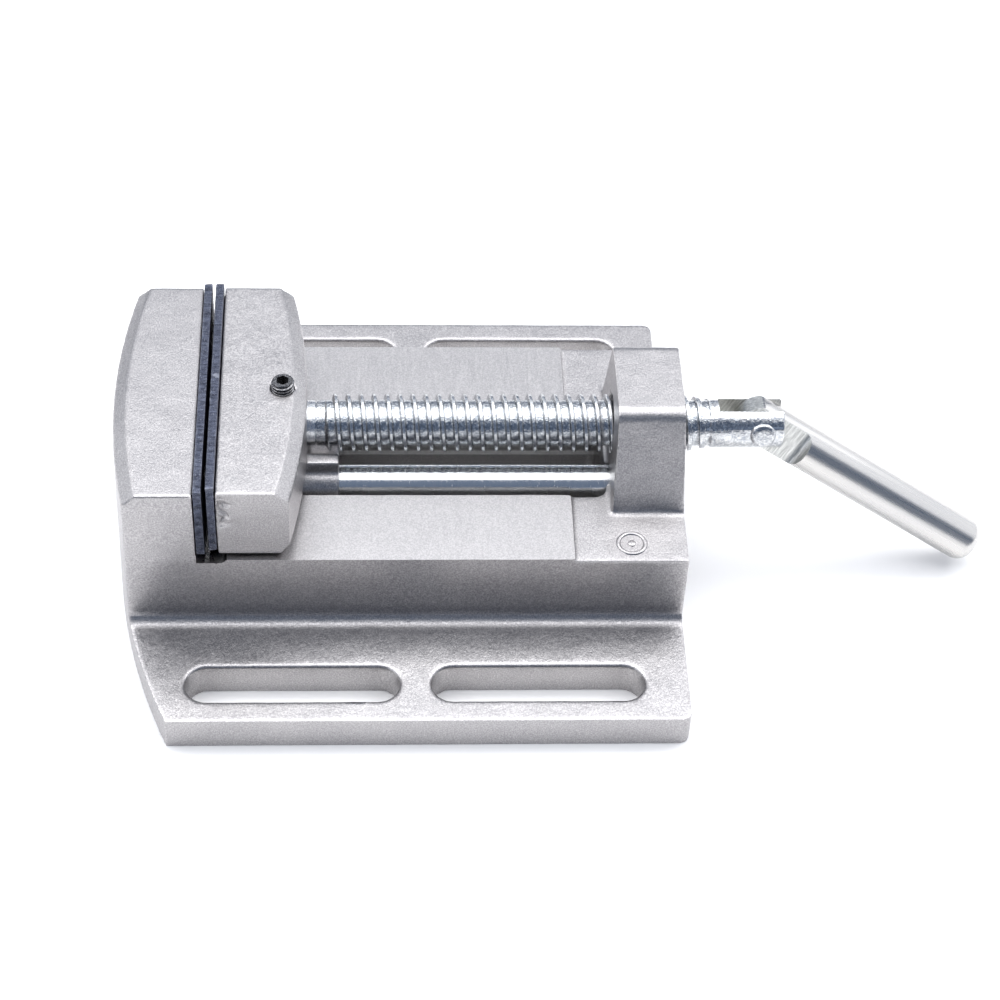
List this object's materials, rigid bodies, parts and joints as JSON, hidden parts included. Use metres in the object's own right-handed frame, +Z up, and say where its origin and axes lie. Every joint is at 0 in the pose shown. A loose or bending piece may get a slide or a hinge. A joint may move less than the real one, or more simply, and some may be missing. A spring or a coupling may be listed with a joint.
{
  "type": "drill press vise",
  "caption": "Low-profile drill press vise: slotted cast aluminium base, moving jaw on two guide rods, lead screw with a swinging bar handle.",
  "frame": {"origin": "middle of the four mounting slots, on the underside of the base", "axes": "+X along the lead screw towards the handle, +Y across the jaws, +Z up"},
  "size_m": [0.1939, 0.121, 0.05],
  "materials": {
    "cast_aluminium": "as-cast, lightly blasted",
    "blackened_steel": "black oxide",
    "black_fasteners": "black oxide",
    "ground_steel": "ground",
    "zinc_plate": "bright zinc plate",
    "polished_steel": "polished"
  },
  "bodies": {
    "base": {"base_casting": "cast_aluminium", "fixed_jaw_plate": "blackened_steel", "fixed_plate_screws": "black_fasteners", "front_guide_rod": "ground_steel", "rear_guide_rod": "ground_steel", "rod_lock_screws": "black_fasteners"},
    "jaw": {"moving_jaw": "cast_aluminium", "moving_jaw_plate": "blackened_steel", "moving_plate_screws": "black_fasteners", "screw_retaining_screw": "black_fasteners"},
    "screw": {"lead_screw": "zinc_plate", "handle_pivot_pin": "zinc_plate"},
    "handle_arm": {"handle": "polished_steel"}
  },
  "joints": [
    {"name": "jaw_slide", "type": "slide", "parent": "base", "child": "jaw", "axis": [1, 0, 0], "range_m": [-0.00055, 0.0575]},
    {"name": "screw_turn", "type": "hinge", "parent": "jaw", "child": "screw", "pos_m": [-0.0284, 0, 0.0362], "axis": [1, 0, 0], "range_deg": [-75, 7345]},
    {"name": "handle_swing", "type": "hinge", "parent": "screw", "child": "handle_arm", "pos_m": [0.0759, 0, 0.0362], "axis": [0, 0.9677, -0.2521], "range_deg": [-132.5, 67.5]}
  ],
  "couplings": [
    {"joint": "screw_turn", "follows": "jaw_slide", "rad_per_m": 2228.1}
  ]
}
